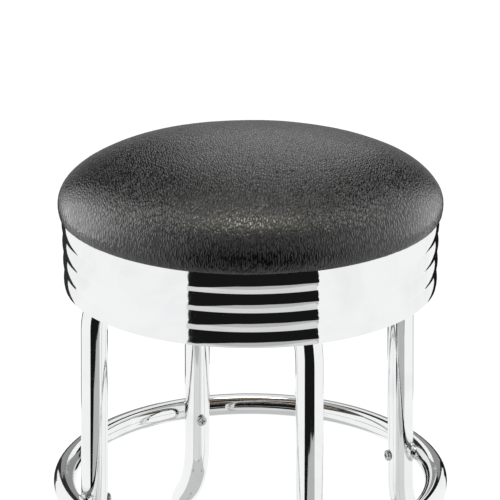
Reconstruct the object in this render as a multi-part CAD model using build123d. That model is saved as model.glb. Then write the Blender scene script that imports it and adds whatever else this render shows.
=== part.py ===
from build123d import *
from math import cos, degrees, pi, radians, sin, tan
import os

# Counter stool with a round swivel seat. Millimetres, +Z up.
# The origin is on the floor, on the seat's turning axis. One leg pair lies along X, the other along Y.

# Heights of the frame
RING_HEIGHT = 424.0
LEG_RUN_ABOVE_RING = 232.0

# Leg tubes, bent in pairs from one length each
LEG_DIAMETER = 25.4
LEG_WALL = 1.5
LEG_INSET = 14.6
LEG_SPLAY_ANGLE = 1.2
LEG_TOP_BEND_RADIUS = 57.0
JOG_START_DROP = 28.0
JOG_BEND_RADIUS = 95.0
JOG_STRAIGHT = 3.0
JOG_ANGLE = 47.0

# The two leg pairs are pressed flat where they cross
CROSSING_HEIGHT = 10.2
CROSSING_HALF_LENGTH = 24.0
CROSSING_TAPER_LENGTH = 20.0
CROSSING_GAP = 0.3
CROSSING_POWER = 5.0
SECTION_POINTS = 24

# Foot caps
FOOT_CAP_FLOOR = 4.0
FOOT_CAP_WALL = 2.8
FOOT_CAP_HEIGHT = 27.0
FOOT_CAP_LIP_HEIGHT = 4.0
FOOT_CAP_LIP_WALL = 0.9
FOOT_CAP_EDGE = 1.6
CAP_GAP = 0.1

# Foot ring
RING_TUBE_DIAMETER = 22.2
RING_WALL = 1.5
RING_PRESSED_DEPTH = 2.0
RING_SEAT_GAP = 0.1

# Screws that hold the foot ring to the legs
RING_SCREW_DIAMETER = 6.0
RING_SCREW_REACH = 13.0
RING_SCREW_HEAD_DIAMETER = 10.5
RING_SCREW_HEAD_HEIGHT = 3.2
RING_NUT_DIAMETER = 9.0
RING_NUT_LENGTH = 11.0
LEG_DIMPLE_RADIUS = 26.0
LEG_DIMPLE_DEPTH = 0.8
DRIVE_SLOT_LENGTH_SHARE = 0.55
DRIVE_SLOT_WIDTH_SHARE = 0.14
DRIVE_SLOT_DEPTH_SHARE = 0.6
HOLE_GAP = 0.2
THREAD_GAP = 0.05

# Swivel plates, bearing and pin
PLATE_SIDE = 152.0
PLATE_THICKNESS = 2.5
PLATE_CORNER_RADIUS = 14.0
PLATE_SEAT_GAP = 0.1
SWIVEL_GAP = 7.0
BALL_DIAMETER = 7.94
BALL_COUNT = 12
BALL_CIRCLE_SHARE = 0.25
BALL_GAP = 0.3
CAGE_THICKNESS = 2.4
CAGE_WIDTH = 17.0
PIN_DIAMETER = 12.0
PIN_HEAD_DIAMETER = 24.0
PIN_LOWER_HEAD_HEIGHT = 2.0
PIN_UPPER_HEAD_HEIGHT = 2.4
PIN_RUNNING_GAP = 0.08
PIN_WASHER_DIAMETER = 28.0
PIN_WASHER_THICKNESS = 1.5
WASHER_RUNNING_GAP = 0.3

# Bolts and nuts
BOLT_DIAMETER = 6.0
BOLT_HEAD_FLATS = 10.0
BOLT_HEAD_HEIGHT = 4.0
NUT_HEIGHT = 5.0
FRAME_BOLT_EDGE = 14.0
FRAME_BOLT_TIP = 0.6
SADDLE_DIAMETER = 18.0
SADDLE_THICKNESS = 2.0
SEAT_BOLT_EDGE = 16.0
SEAT_BOLT_REACH = 13.0
TEE_NUT_FLANGE_DIAMETER = 19.0
TEE_NUT_FLANGE_THICKNESS = 1.5
TEE_NUT_BARREL_DIAMETER = 8.0
TEE_NUT_BARREL_LENGTH = 9.0

# Seat board, foam and cover
BOARD_RADIUS = 173.3
BOARD_THICKNESS = 15.0
BOARD_RECESS_GAP = 1.5
CUSHION_OVERHANG = 7.5
CUSHION_CROWN_HEIGHT = 53.4
CUSHION_WIDEST_ABOVE_BAND = 10.4
CUSHION_TUCK_ABOVE_BAND = 0.5
CUSHION_LIP = 2.6
CUSHION_LIP_RISE = 2.0
CUSHION_POWER = 2.12
CUSHION_PROFILE_STEPS = 7
COVER_THICKNESS = 1.2
COVER_TURN_UNDER = 25.0
SOFT_GAP = 0.2

# Staples round the cover's turned-under edge
STAPLE_COUNT = 24
STAPLE_WIRE = 1.2
STAPLE_CROWN = 10.0
STAPLE_LEG = 8.0

# Ribbed trim band
BAND_THICKNESS = 0.8
BAND_RIB_COUNT = 4
BAND_RIB_PITCH = 18.15
BAND_LAST_RIB_SHARE = 0.82
BAND_RIB_DEPTH = 1.6
BAND_TOP_ABOVE_BOARD = 2.4
BAND_COVER_GAP = 0.33
BAND_RIB_TAPER = 0.35
BAND_HEM_WIDTH = 2.0
SEAM_ANGLE = 70.0
SEAM_GAP = 0.5
SEAM_STRIP_WIDTH = 26.0
SEAM_RIVET_OFFSET = 7.0
SEAM_RIVET_DIAMETER = 3.2
SEAM_RIVET_HEAD_DIAMETER = 6.0
SEAM_RIVET_HEAD_HEIGHT = 1.2

# Clips that hold the band under the board
CLIP_COUNT = 4
CLIP_THICKNESS = 1.5
CLIP_WIDTH = 20.0
CLIP_ARM = 32.0
CLIP_DROP = 26.0
CLIP_GAP = 0.3
CLIP_SCREW_INSET = 16.0
CLIP_SCREW_DIAMETER = 4.0
CLIP_SCREW_LENGTH = 14.0
CLIP_SCREW_HEAD_DIAMETER = 8.0
CLIP_SCREW_HEAD_HEIGHT = 2.0

# One overrun for all cuts
OVERRUN = 3.0

# Counts of parts set round the axis
LEG_COUNT = 4
SIDE_NAMES = ["right", "back", "left", "front"]

# Radii and places that follow from the sizes above
LEG_OUTER = LEG_DIAMETER / 2
RING_OUTER = RING_TUBE_DIAMETER / 2
LEG_RADIUS_AT_RING = BOARD_RADIUS - LEG_INSET
RING_RADIUS = LEG_RADIUS_AT_RING + LEG_OUTER + RING_OUTER - RING_PRESSED_DEPTH
BALL_CIRCLE_RADIUS = PLATE_SIDE * BALL_CIRCLE_SHARE
FRAME_BOLT_RADIUS = PLATE_SIDE / 2 - FRAME_BOLT_EDGE
SEAT_BOLT_OFFSET = PLATE_SIDE / 2 - SEAT_BOLT_EDGE
CUSHION_RADIUS = BOARD_RADIUS + CUSHION_OVERHANG
COVER_SIDE_RADIUS = BOARD_RADIUS + SOFT_GAP + COVER_THICKNESS
BAND_CREST_RADIUS = COVER_SIDE_RADIUS + BAND_COVER_GAP + BAND_THICKNESS + BAND_RIB_DEPTH + BAND_RIB_TAPER / 2
RUN_Z = RING_HEIGHT + LEG_RUN_ABOVE_RING
BASE_PLATE_Z = RUN_Z + LEG_OUTER + PLATE_SEAT_GAP
BASE_PLATE_TOP_Z = BASE_PLATE_Z + PLATE_THICKNESS
BALL_Z = BASE_PLATE_TOP_Z + SWIVEL_GAP / 2
TOP_PLATE_Z = BASE_PLATE_TOP_Z + SWIVEL_GAP
BOARD_Z = TOP_PLATE_Z + PLATE_THICKNESS
BOARD_TOP_Z = BOARD_Z + BOARD_THICKNESS
BAND_TOP_Z = BOARD_TOP_Z + BAND_TOP_ABOVE_BOARD
BAND_BOTTOM_Z = BAND_TOP_Z - (BAND_RIB_COUNT - 1 + BAND_LAST_RIB_SHARE) * BAND_RIB_PITCH
CUSHION_WIDEST_Z = BAND_TOP_Z + CUSHION_WIDEST_ABOVE_BAND
SEAT_HEIGHT = CUSHION_WIDEST_Z + CUSHION_CROWN_HEIGHT
SPLAY_SLOPE = tan(radians(LEG_SPLAY_ANGLE))
SCREW_SEAT = LEG_RADIUS_AT_RING - LEG_OUTER
RING_NUT_START = LEG_RADIUS_AT_RING + LEG_OUTER + RING_SEAT_GAP
SADDLE_LOW_Z = RUN_Z - LEG_OUTER - SADDLE_THICKNESS
WASHER_LOW_Z = BOARD_Z + WASHER_RUNNING_GAP
WASHER_TOP_Z = WASHER_LOW_Z + PIN_WASHER_THICKNESS
PIN_TOP_Z = WASHER_TOP_Z + PIN_UPPER_HEAD_HEIGHT
COVER_UNDER_Z = BOARD_Z - COVER_THICKNESS - SOFT_GAP
TAPER_END = CROSSING_HALF_LENGTH + CROSSING_TAPER_LENGTH


def rib_crest(rib):
    """Outer radius of the band at the crest of one rib, counted from the top."""
    return BAND_CREST_RADIUS - rib * BAND_RIB_TAPER


def groove_radius(rib):
    """Outer radius of the band in the groove under one rib."""
    return rib_crest(rib) - BAND_RIB_DEPTH - BAND_RIB_TAPER / 2


def rib_middle(rib):
    """Height of one rib's crest."""
    return BAND_TOP_Z - (rib + 1 / 2) * BAND_RIB_PITCH


CLIP_OUTER = groove_radius(1) - BAND_THICKNESS - CLIP_GAP
STRIP_OUTER = groove_radius(2) - BAND_THICKNESS - CLIP_GAP
CLIP_SCREW_RADIUS = CLIP_OUTER - CLIP_SCREW_INSET
CLIP_START = 180.0 / CLIP_COUNT
CLIP_SCREW_HEAD_Z = COVER_UNDER_Z - CLIP_THICKNESS


def upright(radius, low, high, x=0, y=0):
    """Upright round bar between two heights."""
    return Pos(x, y, low) * Cylinder(radius, high - low, align=(Align.CENTER, Align.CENTER, Align.MIN))


def upright_hex(flats, low, high, x=0, y=0):
    """Upright hexagonal bar between two heights."""
    sketch = RegularPolygon(flats / 2, 6, major_radius=False)
    return Pos(x, y, low) * extrude(sketch, high - low)


def outward_bar(radius, start, end, height):
    """Round bar along +X, from one distance off the axis to another."""
    bar = Cylinder(radius, end - start, align=(Align.CENTER, Align.CENTER, Align.MIN))
    return Pos(start, 0, height) * Rot(0, 90, 0) * bar


def around(shape, count, start=0.0):
    """Copies of a shape at equal steps round the seat's axis."""
    step = 360.0 / count
    return [Rot(0, 0, start + index * step) * shape for index in range(count)]


def save(name, shapes):
    """Write one node, whether it is one solid or a group."""
    items = shapes if isinstance(shapes, list) else [shapes]
    solids = [solid for item in items for solid in item.solids()]
    whole = solids[0] if len(solids) == 1 else Compound(children=solids)
    export_step(whole, f"parts/{name}.step")


def leg_corners():
    """Corner points of one leg's centreline in the XZ plane, from the foot to the run under the seat."""
    splay = radians(LEG_SPLAY_ANGLE)
    slope = radians(JOG_ANGLE)
    upper_setback = JOG_BEND_RADIUS * tan((slope - splay) / 2)
    lower_setback = JOG_BEND_RADIUS * tan(slope / 2)
    upper_drop = JOG_START_DROP + upper_setback * cos(splay)
    upper_x = LEG_RADIUS_AT_RING + upper_drop * SPLAY_SLOPE
    upper_z = RING_HEIGHT - upper_drop
    jog_length = upper_setback + JOG_STRAIGHT + lower_setback
    lower_x = upper_x + jog_length * sin(slope)
    lower_z = upper_z - jog_length * cos(slope)
    top_x = LEG_RADIUS_AT_RING - LEG_RUN_ABOVE_RING * SPLAY_SLOPE
    return [(lower_x, 0, FOOT_CAP_FLOOR), (lower_x, 0, lower_z), (upper_x, 0, upper_z), (top_x, 0, RUN_Z)]


FOOT_RADIUS = leg_corners()[0][0]


def bent_leg(radius):
    """Round bar along one leg, from the foot to where the pressing starts."""
    points = leg_corners() + [(TAPER_END, 0, RUN_Z)]
    bends = [JOG_BEND_RADIUS, JOG_BEND_RADIUS, LEG_TOP_BEND_RADIUS]
    path = FilletPolyline(*points, radius=bends)
    section = Plane(origin=points[0], z_dir=(0, 0, 1)) * Circle(radius)
    return sweep(section, path=path)


def pressed_width(radius):
    """Half width of the pressed section, whose outline is about as long as the round tube's."""
    half_height = CROSSING_HEIGHT / 2
    return half_height + (radius - half_height) * pi / 2


def pressed_face(inset, side, x):
    """Pressed section of the tube across X, above the crossing plane for side 1 and below it for side -1."""
    half_height = CROSSING_HEIGHT / 2 - inset
    half_width = pressed_width(LEG_OUTER) - inset
    middle = RUN_Z + side * (CROSSING_HEIGHT + CROSSING_GAP) / 2
    points = []
    for index in range(SECTION_POINTS):
        angle = 2 * pi * index / SECTION_POINTS
        across = abs(cos(angle)) ** (2 / CROSSING_POWER) * (1 if cos(angle) >= 0 else -1)
        rise = abs(sin(angle)) ** (2 / CROSSING_POWER) * (1 if sin(angle) >= 0 else -1)
        points.append((x, half_width * across, middle + half_height * rise))
    return make_face(Spline(*points, periodic=True))


def pressed_run(inset, side):
    """Middle of the run: flat over the crossing, with a taper to the round tube at each end."""
    ends = [pressed_face(inset, side, end * CROSSING_HALF_LENGTH) for end in (-1, 1)]
    flat = loft(ends)
    parts = [flat]
    for end in (-1, 1):
        flat_face = pressed_face(inset, side, end * CROSSING_HALF_LENGTH)
        round_plane = Plane(origin=(end * TAPER_END, 0, RUN_Z), x_dir=(0, 1, 0), z_dir=(1, 0, 0))
        round_face = round_plane * Circle(LEG_OUTER - inset)
        parts.append(loft([flat_face, round_face], ruled=True))
    return parts


def leg_bar(inset, side):
    """Solid bar of a whole leg pair along X, smaller all round by the inset."""
    leg = bent_leg(LEG_OUTER - inset)
    bar = leg + mirror(leg, about=Plane.YZ)
    for piece in pressed_run(inset, side):
        bar = bar + piece
    return bar


def leg_dimple():
    """Shallow ball-shaped press mark round a ring screw, on the inner face of the leg on +X."""
    centre = SCREW_SEAT + LEG_DIMPLE_DEPTH - LEG_DIMPLE_RADIUS
    return Pos(centre, 0, RING_HEIGHT) * Sphere(LEG_DIMPLE_RADIUS)


def leg_pair(side):
    """One bent tube with its two legs on +X and -X."""
    tube = leg_bar(0, side) - leg_bar(LEG_WALL, side)
    screw_hole = outward_bar(
        RING_SCREW_DIAMETER / 2 + HOLE_GAP,
        LEG_RADIUS_AT_RING - LEG_DIAMETER,
        LEG_RADIUS_AT_RING + LEG_DIAMETER,
        RING_HEIGHT,
    )
    bolt_hole = upright(
        BOLT_DIAMETER / 2 + HOLE_GAP, RUN_Z - LEG_DIAMETER, RUN_Z + LEG_DIAMETER, FRAME_BOLT_RADIUS
    )
    for cutter in (screw_hole, bolt_hole, leg_dimple()):
        for copy in around(cutter, 2):
            tube = tube - copy
    return tube


def leg_at_ring(radius):
    """Round bar along the leg on +X, near the foot ring."""
    bar = Rot(0, 0, 180) * Cylinder(radius, 2 * LEG_DIAMETER)
    return Pos(LEG_RADIUS_AT_RING, 0, RING_HEIGHT) * Rot(0, -LEG_SPLAY_ANGLE, 0) * bar


def foot_ring():
    """Hollow ring outside the legs, pressed in where each leg lies against it."""
    between_legs = Pos(0, 0, RING_HEIGHT) * Rot(0, 0, 180 / LEG_COUNT)
    shell = between_legs * Torus(RING_RADIUS, RING_OUTER)
    hollow = between_legs * Torus(RING_RADIUS, RING_OUTER - RING_WALL)
    for seat in around(leg_at_ring(LEG_OUTER + RING_SEAT_GAP), LEG_COUNT):
        shell = shell - seat
    for seat in around(leg_at_ring(LEG_OUTER + RING_SEAT_GAP + RING_WALL), LEG_COUNT):
        hollow = hollow - seat
    ring = shell - hollow
    nut_hole = outward_bar(RING_NUT_DIAMETER / 2 + THREAD_GAP, LEG_RADIUS_AT_RING, RING_RADIUS, RING_HEIGHT)
    for hole in around(nut_hole, LEG_COUNT):
        ring = ring - hole
    return ring


def ring_screw():
    """Pan-head screw with a cross drive, from the leg's inner face into the ring."""
    shank_end = RING_NUT_START + RING_SCREW_REACH
    shank = outward_bar(RING_SCREW_DIAMETER / 2, SCREW_SEAT, shank_end, RING_HEIGHT)
    head_start = SCREW_SEAT - RING_SCREW_HEAD_HEIGHT
    head = outward_bar(RING_SCREW_HEAD_DIAMETER / 2, head_start, SCREW_SEAT, RING_HEIGHT)
    head = fillet(head.edges().filter_by(GeomType.CIRCLE).sort_by(Axis.X)[0], RING_SCREW_HEAD_HEIGHT / 2)
    length = RING_SCREW_HEAD_DIAMETER * DRIVE_SLOT_LENGTH_SHARE
    width = RING_SCREW_HEAD_DIAMETER * DRIVE_SLOT_WIDTH_SHARE
    depth = RING_SCREW_HEAD_HEIGHT * DRIVE_SLOT_DEPTH_SHARE
    start = Pos(head_start, 0, RING_HEIGHT)
    drive = start * Box(2 * depth, length, width) + start * Box(2 * depth, width, length)
    return shank + head - drive


def ring_nut():
    """Threaded sleeve set into the ring's wall behind a leg."""
    outer = outward_bar(RING_NUT_DIAMETER / 2, RING_NUT_START, RING_NUT_START + RING_NUT_LENGTH, RING_HEIGHT)
    bore = outward_bar(
        RING_SCREW_DIAMETER / 2 + THREAD_GAP,
        RING_NUT_START - OVERRUN,
        RING_NUT_START + RING_NUT_LENGTH + OVERRUN,
        RING_HEIGHT,
    )
    return outer - bore


def foot_cap():
    """Cap pushed on the end of the leg on +X, with a lip round its mouth."""
    bore_radius = LEG_OUTER + CAP_GAP
    body = upright(bore_radius + FOOT_CAP_WALL, 0, FOOT_CAP_HEIGHT, FOOT_RADIUS)
    body = fillet(body.edges().filter_by(GeomType.CIRCLE).sort_by(Axis.Z)[0], FOOT_CAP_EDGE)
    lip_low = FOOT_CAP_HEIGHT - FOOT_CAP_LIP_HEIGHT
    lip = upright(bore_radius + FOOT_CAP_WALL + FOOT_CAP_LIP_WALL, lip_low, FOOT_CAP_HEIGHT, FOOT_RADIUS)
    lip = fillet(lip.edges().filter_by(GeomType.CIRCLE), FOOT_CAP_LIP_WALL / 3)
    bore = upright(bore_radius, FOOT_CAP_FLOOR, FOOT_CAP_HEIGHT + OVERRUN, FOOT_RADIUS)
    return body + lip - bore


def plate_blank(low):
    """Square swivel plate with round corners and a ball groove on the bearing side."""
    sketch = RectangleRounded(PLATE_SIDE, PLATE_SIDE, PLATE_CORNER_RADIUS)
    plate = Pos(0, 0, low) * extrude(sketch, PLATE_THICKNESS)
    return plate - Pos(0, 0, BALL_Z) * Torus(BALL_CIRCLE_RADIUS, BALL_DIAMETER / 2 + BALL_GAP)


def swivel_base_plate():
    """Plate bolted down to the leg runs."""
    plate = plate_blank(BASE_PLATE_Z)
    low = BASE_PLATE_Z - OVERRUN
    high = BASE_PLATE_TOP_Z + OVERRUN
    plate = plate - upright(PIN_DIAMETER / 2 + THREAD_GAP, low, high)
    for hole in around(upright(BOLT_DIAMETER / 2 + HOLE_GAP, low, high, FRAME_BOLT_RADIUS), LEG_COUNT):
        plate = plate - hole
    return plate


def swivel_top_plate():
    """Plate that turns with the seat."""
    plate = plate_blank(TOP_PLATE_Z)
    low = TOP_PLATE_Z - OVERRUN
    high = BOARD_Z + OVERRUN
    plate = plate - upright(PIN_DIAMETER / 2 + PIN_RUNNING_GAP, low, high)
    hole = upright(BOLT_DIAMETER / 2 + HOLE_GAP, low, high, SEAT_BOLT_OFFSET, SEAT_BOLT_OFFSET)
    for copy in around(hole, LEG_COUNT):
        plate = plate - copy
    return plate


def swivel_pin():
    """Headed pin that keeps the two plates together."""
    shank = upright(PIN_DIAMETER / 2, BASE_PLATE_Z, PIN_TOP_Z)
    lower = upright(PIN_HEAD_DIAMETER / 2, BASE_PLATE_Z - PIN_LOWER_HEAD_HEIGHT, BASE_PLATE_Z)
    upper = upright(PIN_HEAD_DIAMETER / 2, WASHER_TOP_Z, PIN_TOP_Z)
    upper = fillet(upper.edges().filter_by(GeomType.CIRCLE).sort_by(Axis.Z)[-1], PIN_UPPER_HEAD_HEIGHT / 2)
    return shank + lower + upper


def pin_washer():
    """Slip washer between the turning plate and the pin's upper head."""
    disc = upright(PIN_WASHER_DIAMETER / 2, WASHER_LOW_Z, WASHER_TOP_Z)
    return disc - upright(PIN_DIAMETER / 2 + THREAD_GAP, WASHER_LOW_Z - OVERRUN, PIN_TOP_Z)


def ball_cage():
    """Flat ring that spaces the bearing balls."""
    low = BALL_Z - CAGE_THICKNESS / 2
    high = BALL_Z + CAGE_THICKNESS / 2
    ring = upright(BALL_CIRCLE_RADIUS + CAGE_WIDTH / 2, low, high)
    ring = ring - upright(BALL_CIRCLE_RADIUS - CAGE_WIDTH / 2, low - OVERRUN, high + OVERRUN)
    pocket = upright(BALL_DIAMETER / 2 + BALL_GAP, low - OVERRUN, high + OVERRUN, BALL_CIRCLE_RADIUS)
    for hole in around(pocket, BALL_COUNT):
        ring = ring - hole
    return ring


def swivel_balls():
    """Bearing balls in their cage."""
    return around(Pos(BALL_CIRCLE_RADIUS, 0, BALL_Z) * Sphere(BALL_DIAMETER / 2), BALL_COUNT)


def saddle_washer():
    """Washer hollowed on top to fit the underside of a leg run."""
    disc = upright(SADDLE_DIAMETER / 2, SADDLE_LOW_Z, RUN_Z, FRAME_BOLT_RADIUS)
    run = outward_bar(LEG_OUTER + CAP_GAP, 0, FRAME_BOLT_RADIUS + SADDLE_DIAMETER, RUN_Z)
    hole = upright(BOLT_DIAMETER / 2 + HOLE_GAP, SADDLE_LOW_Z - OVERRUN, RUN_Z, FRAME_BOLT_RADIUS)
    keep = upright(SADDLE_DIAMETER, SADDLE_LOW_Z, RUN_Z - LEG_OUTER / 2, FRAME_BOLT_RADIUS)
    return (disc & keep) - run - hole


def frame_bolt():
    """Hexagon bolt up through a leg run and the base plate."""
    tip = BASE_PLATE_TOP_Z + NUT_HEIGHT + FRAME_BOLT_TIP
    shank = upright(BOLT_DIAMETER / 2, SADDLE_LOW_Z, tip, FRAME_BOLT_RADIUS)
    head = upright_hex(BOLT_HEAD_FLATS, SADDLE_LOW_Z - BOLT_HEAD_HEIGHT, SADDLE_LOW_Z, FRAME_BOLT_RADIUS)
    return shank + head


def plate_nut():
    """Weld nut on top of the base plate."""
    high = BASE_PLATE_TOP_Z + NUT_HEIGHT
    nut = upright_hex(BOLT_HEAD_FLATS, BASE_PLATE_TOP_Z, high, FRAME_BOLT_RADIUS)
    bore_radius = BOLT_DIAMETER / 2 + THREAD_GAP
    bore = upright(bore_radius, BASE_PLATE_TOP_Z - OVERRUN, high + OVERRUN, FRAME_BOLT_RADIUS)
    return nut - bore


def seat_bolt():
    """Hexagon bolt up through the top plate into the board."""
    place = (SEAT_BOLT_OFFSET, SEAT_BOLT_OFFSET)
    shank = upright(BOLT_DIAMETER / 2, TOP_PLATE_Z, BOARD_Z + SEAT_BOLT_REACH, *place)
    head = upright_hex(BOLT_HEAD_FLATS, TOP_PLATE_Z - BOLT_HEAD_HEIGHT, TOP_PLATE_Z, *place)
    return shank + head


def tee_nut():
    """Flanged nut let into the top of the board."""
    place = (SEAT_BOLT_OFFSET, SEAT_BOLT_OFFSET)
    flange_low = BOARD_TOP_Z - TEE_NUT_FLANGE_THICKNESS
    barrel_low = flange_low - TEE_NUT_BARREL_LENGTH
    flange = upright(TEE_NUT_FLANGE_DIAMETER / 2, flange_low, BOARD_TOP_Z, *place)
    barrel = upright(TEE_NUT_BARREL_DIAMETER / 2, barrel_low, flange_low, *place)
    bore = upright(BOLT_DIAMETER / 2 + THREAD_GAP, barrel_low - OVERRUN, BOARD_TOP_Z + OVERRUN, *place)
    return flange + barrel - bore


def seat_board():
    """Round plywood board with its bolt holes and the recess over the pin."""
    place = (SEAT_BOLT_OFFSET, SEAT_BOLT_OFFSET)
    board = upright(BOARD_RADIUS, BOARD_Z, BOARD_TOP_Z)
    recess_radius = PIN_WASHER_DIAMETER / 2 + BOARD_RECESS_GAP
    board = board - upright(recess_radius, BOARD_Z - OVERRUN, PIN_TOP_Z + BOARD_RECESS_GAP)
    barrel_radius = TEE_NUT_BARREL_DIAMETER / 2 + THREAD_GAP
    barrel = upright(barrel_radius, BOARD_Z - OVERRUN, BOARD_TOP_Z + OVERRUN, *place)
    flange_low = BOARD_TOP_Z - TEE_NUT_FLANGE_THICKNESS
    flange = upright(TEE_NUT_FLANGE_DIAMETER / 2 + HOLE_GAP, flange_low, BOARD_TOP_Z + OVERRUN, *place)
    for cutter in around(barrel + flange, LEG_COUNT):
        board = board - cutter
    screw_top = CLIP_SCREW_HEAD_Z + CLIP_SCREW_LENGTH + THREAD_GAP
    hole = upright(CLIP_SCREW_DIAMETER / 2 + THREAD_GAP, BOARD_Z - OVERRUN, screw_top, CLIP_SCREW_RADIUS)
    for cutter in around(hole, CLIP_COUNT, CLIP_START):
        board = board - cutter
    return board


def cushion_solid(inset):
    """Body of the upholstered seat by turning its outline, smaller all round by the inset."""
    tuck_z = BAND_TOP_Z + CUSHION_TUCK_ABOVE_BAND
    radius = CUSHION_RADIUS - inset
    crown = CUSHION_CROWN_HEIGHT - inset
    side_radius = COVER_SIDE_RADIUS - inset
    down = (0, 0, -1)
    points = []
    for step in range(CUSHION_PROFILE_STEPS + 1):
        angle = pi / 2 * (1 - step / CUSHION_PROFILE_STEPS)
        out = radius * cos(angle) ** (2 / CUSHION_POWER) if step else 0
        points.append((out, 0, CUSHION_WIDEST_Z + crown * sin(angle) ** (2 / CUSHION_POWER)))
    top = Spline(*points, tangents=[(1, 0, 0), down])
    lip = (side_radius + CUSHION_LIP, 0, tuck_z + CUSHION_LIP_RISE)
    side = Spline((radius, 0, CUSHION_WIDEST_Z), lip, (side_radius, 0, tuck_z), tangents=[down, down])
    low = BOARD_Z - COVER_THICKNESS - SOFT_GAP + inset
    rest = Polyline((side_radius, 0, tuck_z), (side_radius, 0, low), (0, 0, low), (0, 0, SEAT_HEIGHT - inset))
    outline = make_face([top, side] + rest.edges())
    return revolve(outline, Axis.Z)


def seat_foam():
    """Foam dome on the board."""
    body = cushion_solid(COVER_THICKNESS + SOFT_GAP)
    return body - upright(BOARD_RADIUS + OVERRUN, BOARD_Z - OVERRUN, BOARD_TOP_Z)


def seat_cover():
    """Cover over the foam, drawn down inside the band and turned under the board."""
    shell = cushion_solid(0) - cushion_solid(COVER_THICKNESS)
    mouth_radius = BOARD_RADIUS - COVER_TURN_UNDER
    mouth = upright(mouth_radius, BOARD_Z - COVER_THICKNESS - OVERRUN, BOARD_Z + OVERRUN / 2)
    shell = shell - mouth
    hole = upright(
        CLIP_SCREW_DIAMETER / 2 + HOLE_GAP, BOARD_Z - COVER_THICKNESS - OVERRUN, BOARD_Z, CLIP_SCREW_RADIUS
    )
    for cutter in around(hole, CLIP_COUNT, CLIP_START):
        shell = shell - cutter
    return shell


def staple():
    """Staple through the cover's turned-under edge into the board."""
    radius = BOARD_RADIUS - COVER_TURN_UNDER / 2
    low = COVER_UNDER_Z - STAPLE_WIRE
    crown = Pos(radius, 0, low) * Box(
        STAPLE_WIRE, STAPLE_CROWN, STAPLE_WIRE, align=(Align.CENTER, Align.CENTER, Align.MIN)
    )
    staple_body = crown
    for end in (-1, 1):
        y = end * (STAPLE_CROWN - STAPLE_WIRE) / 2
        leg = Box(STAPLE_WIRE, STAPLE_WIRE, STAPLE_LEG, align=(Align.CENTER, Align.CENTER, Align.MIN))
        staple_body = staple_body + Pos(radius, y, low) * leg
    return staple_body


def band_outline(shift):
    """Arcs of the ribbed outline from top to bottom, moved inward by the shift."""
    arcs = []
    for rib in range(BAND_RIB_COUNT):
        crest = rib_crest(rib) - shift
        high = rib_middle(rib) + BAND_RIB_PITCH / 2
        low = rib_middle(rib) - BAND_RIB_PITCH / 2
        above = groove_radius(rib - 1) - shift if rib else crest - BAND_RIB_DEPTH
        below = groove_radius(rib) - shift
        arcs.append(ThreePointArc((above, 0, high), (crest, 0, rib_middle(rib)), (below, 0, low)))
    arcs[-1] = arcs[-1].trim(0, BAND_LAST_RIB_SHARE)
    return arcs


def seam_rivet_hole(rib):
    """Bar along +X for one rivet hole through a rib's crest."""
    start = STRIP_OUTER - CLIP_THICKNESS - OVERRUN
    return outward_bar(SEAM_RIVET_DIAMETER / 2 + HOLE_GAP, start, rib_crest(rib) + OVERRUN, rib_middle(rib))


def at_seam(shape_for_rib):
    """A shape at the two middle ribs, on both sides of the seam."""
    turn = degrees(SEAM_RIVET_OFFSET / BAND_CREST_RADIUS)
    middle_ribs = [BAND_RIB_COUNT // 2 - 1, BAND_RIB_COUNT // 2]
    angles = [SEAM_ANGLE + side * turn for side in (-1, 1)]
    return [Rot(0, 0, angle) * shape_for_rib(rib) for rib in middle_ribs for angle in angles]


def trim_band():
    """Thin ribbed band with a turned-in hem at the bottom and a butt seam at the back."""
    outer = band_outline(0)
    inner = band_outline(BAND_THICKNESS)
    top = Line(outer[0] @ 0, inner[0] @ 0)
    bottom = Line(outer[-1] @ 1, inner[-1] @ 1)
    strip = revolve(make_face([*outer, *inner, top, bottom]), Axis.Z)
    foot = inner[-1] @ 1
    hem = upright(foot.X + BAND_THICKNESS / 2, foot.Z, foot.Z + BAND_THICKNESS)
    hem = hem - upright(foot.X - BAND_HEM_WIDTH, foot.Z - OVERRUN, foot.Z + OVERRUN)
    slit_size = 2 * BAND_CREST_RADIUS
    slit = Box(slit_size, SEAM_GAP, slit_size, align=(Align.MIN, Align.CENTER, Align.CENTER))
    band = strip + hem - Rot(0, 0, SEAM_ANGLE) * Pos(0, 0, BAND_TOP_Z) * slit
    for hole in at_seam(seam_rivet_hole):
        band = band - hole
    return band


def bent_strip(radius, thickness, low, high, width, angle):
    """Upright strip curved round the axis, with its outer face at a radius and its middle at an angle."""
    turn = degrees(width / radius)
    face = Plane.XZ * Pos(radius - thickness / 2, (low + high) / 2) * Rectangle(thickness, high - low)
    return Rot(0, 0, angle - turn / 2) * revolve(face, Axis.Z, revolution_arc=turn)


def seam_strip():
    """Curved strip behind the band's seam."""
    low = BAND_BOTTOM_Z + BAND_RIB_PITCH / 2
    high = COVER_UNDER_Z - CLIP_GAP
    strip = bent_strip(STRIP_OUTER, CLIP_THICKNESS, low, high, SEAM_STRIP_WIDTH, SEAM_ANGLE)
    for hole in at_seam(seam_rivet_hole):
        strip = strip - hole
    return strip


def seam_rivet(rib):
    """Round-headed rivet through the band and the seam strip."""
    inside = STRIP_OUTER - CLIP_THICKNESS - THREAD_GAP
    crest = rib_crest(rib) + THREAD_GAP
    shank = outward_bar(SEAM_RIVET_DIAMETER / 2, inside, crest, rib_middle(rib))
    head = outward_bar(SEAM_RIVET_HEAD_DIAMETER / 2, crest, crest + SEAM_RIVET_HEAD_HEIGHT, rib_middle(rib))
    head = fillet(head.edges().filter_by(GeomType.CIRCLE).sort_by(Axis.X)[-1], SEAM_RIVET_HEAD_HEIGHT / 2)
    tail = outward_bar(SEAM_RIVET_HEAD_DIAMETER / 2, inside - SEAM_RIVET_HEAD_HEIGHT, inside, rib_middle(rib))
    return shank + head + tail


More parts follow.
